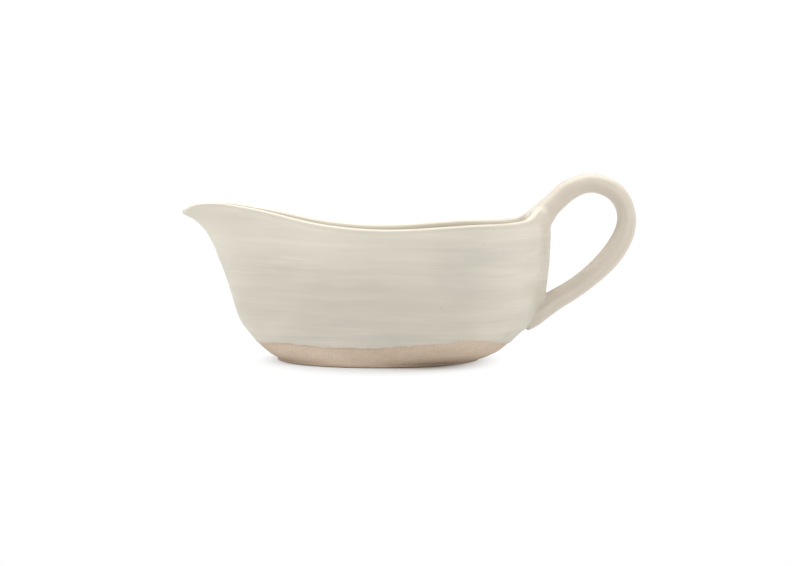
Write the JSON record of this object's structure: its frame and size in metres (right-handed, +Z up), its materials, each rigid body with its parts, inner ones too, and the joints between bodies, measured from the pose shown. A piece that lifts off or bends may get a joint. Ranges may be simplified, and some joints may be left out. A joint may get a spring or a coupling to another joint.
{
  "type": "gravy boat",
  "caption": "Boat-shaped stoneware pouring vessel with a pulled spout, a looped strap handle rising above the rim, and cream glaze that stops above a bare clay foot.",
  "frame": {"origin": "on the surface the foot rests on, below the middle of the overall length", "axes": "+Z up, +X from the spout towards the handle, the vessel symmetric across the XZ plane"},
  "size_m": [0.2295, 0.0924, 0.0943],
  "materials": {
    "bare_stoneware": "unglazed, fine matt grain",
    "luting_slip": "unglazed, matt",
    "cream_glaze": "satin, faintly speckled"
  },
  "bodies": {
    "root": {"vessel": "bare_stoneware", "rear_rib": "bare_stoneware", "strap_handle": "bare_stoneware", "luting_slip_upper": "luting_slip", "luting_slip_lower": "luting_slip", "glaze_coat": "cream_glaze"}
  },
  "joints": []
}
